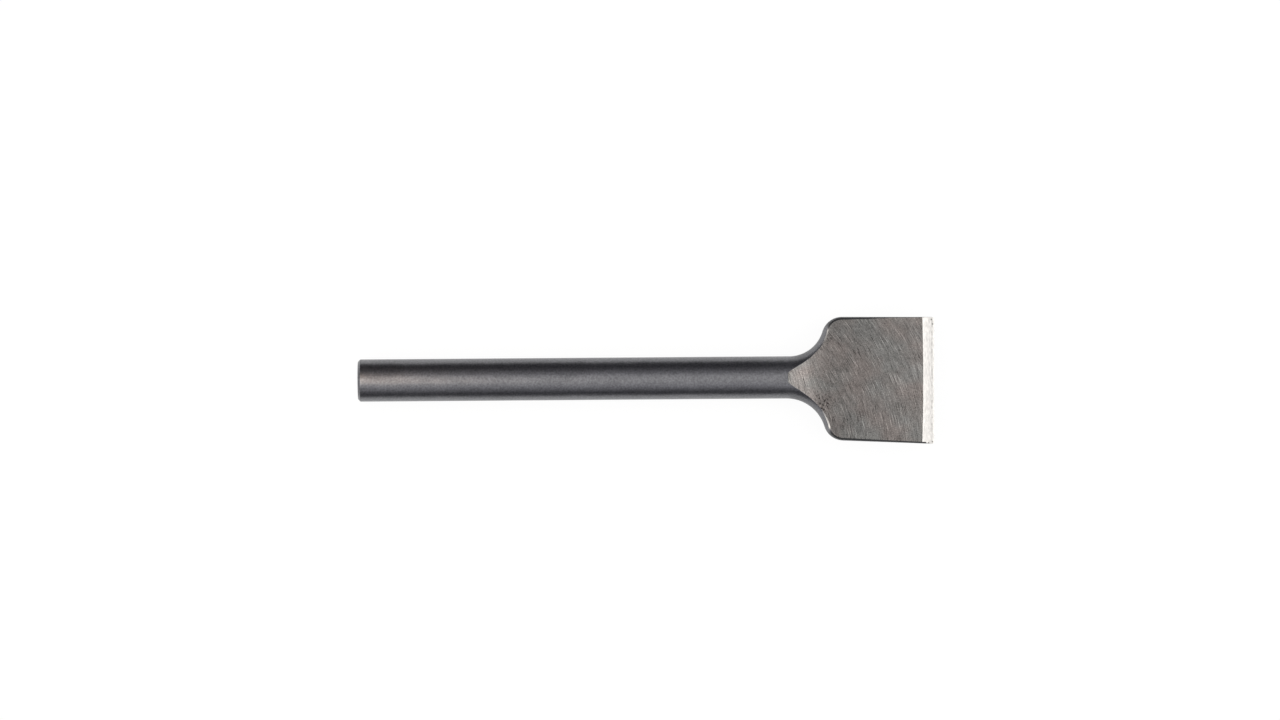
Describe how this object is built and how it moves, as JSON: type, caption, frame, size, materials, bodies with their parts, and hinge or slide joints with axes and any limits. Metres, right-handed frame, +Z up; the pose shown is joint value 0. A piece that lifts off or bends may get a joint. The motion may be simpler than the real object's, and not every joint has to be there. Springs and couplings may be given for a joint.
{
  "type": "spade chisel",
  "caption": "Forged steel spade chisel: a round shank flattened into a wide ground blade with a bevelled cutting edge.",
  "frame": {"origin": "centre of the plain end of the round shank, on the shank's axis", "axes": "+X along the shank towards the cutting edge, +Z up and square to the blade's faces, +Y across the blade; the chisel lies with its blade level"},
  "size_m": [0.1908, 0.0423, 0.014],
  "materials": {
    "steel": "forged and blasted shank, matte ground faces, bright ground bevel"
  },
  "bodies": {
    "root": {"spade_chisel": "steel"}
  },
  "joints": []
}
